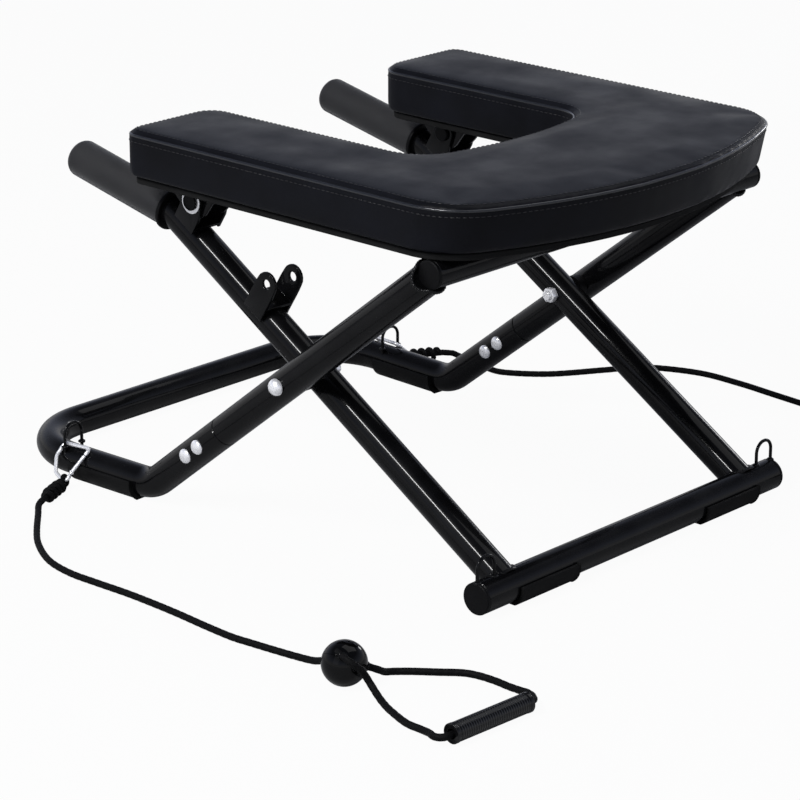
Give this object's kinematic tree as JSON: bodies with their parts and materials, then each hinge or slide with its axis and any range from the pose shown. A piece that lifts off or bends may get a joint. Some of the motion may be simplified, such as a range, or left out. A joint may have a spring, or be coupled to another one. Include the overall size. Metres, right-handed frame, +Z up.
{
  "type": "folding yoga chair",
  "caption": "Low folding yoga chair with a U-shaped padded seat on crossed round-tube frames, foam hand grips at its front and a hooked pull cord with a handle at each side.",
  "frame": {"origin": "on the floor, in the middle of the chair's outline without its pull cords", "axes": "+Z up, +Y to the rear, where the base tube and the closed end of the seat are, +X to the right of the user who faces the front"},
  "size_m": [0.8222, 0.7363, 0.3444],
  "materials": {
    "powder_coat": "gloss black powder coat on steel tube and folded steel plate",
    "black_plastic": "satin black moulded plastic",
    "gloss_plastic": "glossy black moulded plastic with facets",
    "black_rubber": "matte black rubber",
    "grip_foam": "matte black closed-cell foam",
    "zinc": "bright zinc-plated steel",
    "chrome": "polished chrome",
    "seat_leather": "black artificial leather with a soft sheen and stitched seams",
    "seat_board": "plywood under black lining",
    "braided_cord": "black braided polyester cord"
  },
  "bodies": {
    "arm_frame": {"arm_rivet_l1": "zinc", "arm_rivet_l2": "zinc", "arm_rivet_r1": "zinc", "arm_rivet_r2": "zinc", "arm_tube_l": "powder_coat", "arm_tube_r": "powder_coat", "carabiner_l": "zinc", "carabiner_r": "zinc", "cord_ball_l": "gloss_plastic", "cord_ball_r": "gloss_plastic", "cord_knot_l": "braided_cord", "cord_knot_r": "braided_cord", "floor_eyelet_l": "powder_coat", "floor_eyelet_r": "powder_coat", "floor_foot_l": "black_rubber", "floor_foot_r": "black_rubber", "floor_tube": "powder_coat", "pull_cord_l": "braided_cord", "pull_cord_r": "braided_cord", "pull_handle_l": "black_plastic", "pull_handle_r": "black_plastic", "pull_loop_l": "braided_cord", "pull_loop_r": "braided_cord", "rear_cap_l": "black_plastic", "rear_cap_r": "black_plastic", "rear_tube": "powder_coat"},
    "leg_frame": {"base_cap_l": "black_plastic", "base_cap_r": "black_plastic", "base_eyelet_l": "powder_coat", "base_eyelet_r": "powder_coat", "base_foot_l": "black_rubber", "base_foot_r": "black_rubber", "base_tube": "powder_coat", "grip_collar_l": "black_plastic", "grip_collar_r": "black_plastic", "grip_l": "grip_foam", "grip_r": "grip_foam", "hinge_bracket_l": "powder_coat", "hinge_bracket_r": "powder_coat", "leg_l": "powder_coat", "leg_r": "powder_coat", "pivot_bolt_l": "zinc", "pivot_bolt_r": "zinc", "pivot_nut_l": "zinc", "pivot_nut_r": "zinc", "pivot_spacer_l": "black_plastic", "pivot_spacer_r": "black_plastic", "spare_bracket_l": "powder_coat", "spare_bracket_r": "powder_coat"},
    "seat": {"hinge_pin_l": "black_plastic", "hinge_pin_r": "black_plastic", "hinge_washer_l": "chrome", "hinge_washer_r": "chrome", "pad_board": "seat_board", "pad_bracket_l": "powder_coat", "pad_bracket_r": "powder_coat", "pad_cushion": "seat_leather"},
    "gate_r": {"carabiner_gate_r": "zinc"},
    "gate_l": {"carabiner_gate_l": "zinc"}
  },
  "joints": [
    {"name": "fold", "type": "hinge", "parent": "arm_frame", "child": "leg_frame", "pos_m": [0, 0.05532, 0.15131], "axis": [1, 0, 0], "range_deg": [0, 62]},
    {"name": "seat_tilt", "type": "hinge", "parent": "leg_frame", "child": "seat", "pos_m": [0, -0.07896, 0.2806], "axis": [1, 0, 0], "range_deg": [-33, 0]},
    {"name": "gate_open_r", "type": "hinge", "parent": "arm_frame", "child": "gate_r", "pos_m": [0.22823, -0.1942, 0.01347], "axis": [0.6542, 0.0273, 0.7559], "range_deg": [0, 25], "stiffness_Nm_per_rad": 0.02},
    {"name": "gate_open_l", "type": "hinge", "parent": "arm_frame", "child": "gate_l", "pos_m": [-0.2294, -0.22237, 0.01347], "axis": [-0.6542, 0.0273, 0.7559], "range_deg": [0, 25], "stiffness_Nm_per_rad": 0.02}
  ],
  "couplings": [
    {"joint": "seat_tilt", "follows": "fold", "ratio": -0.53}
  ]
}
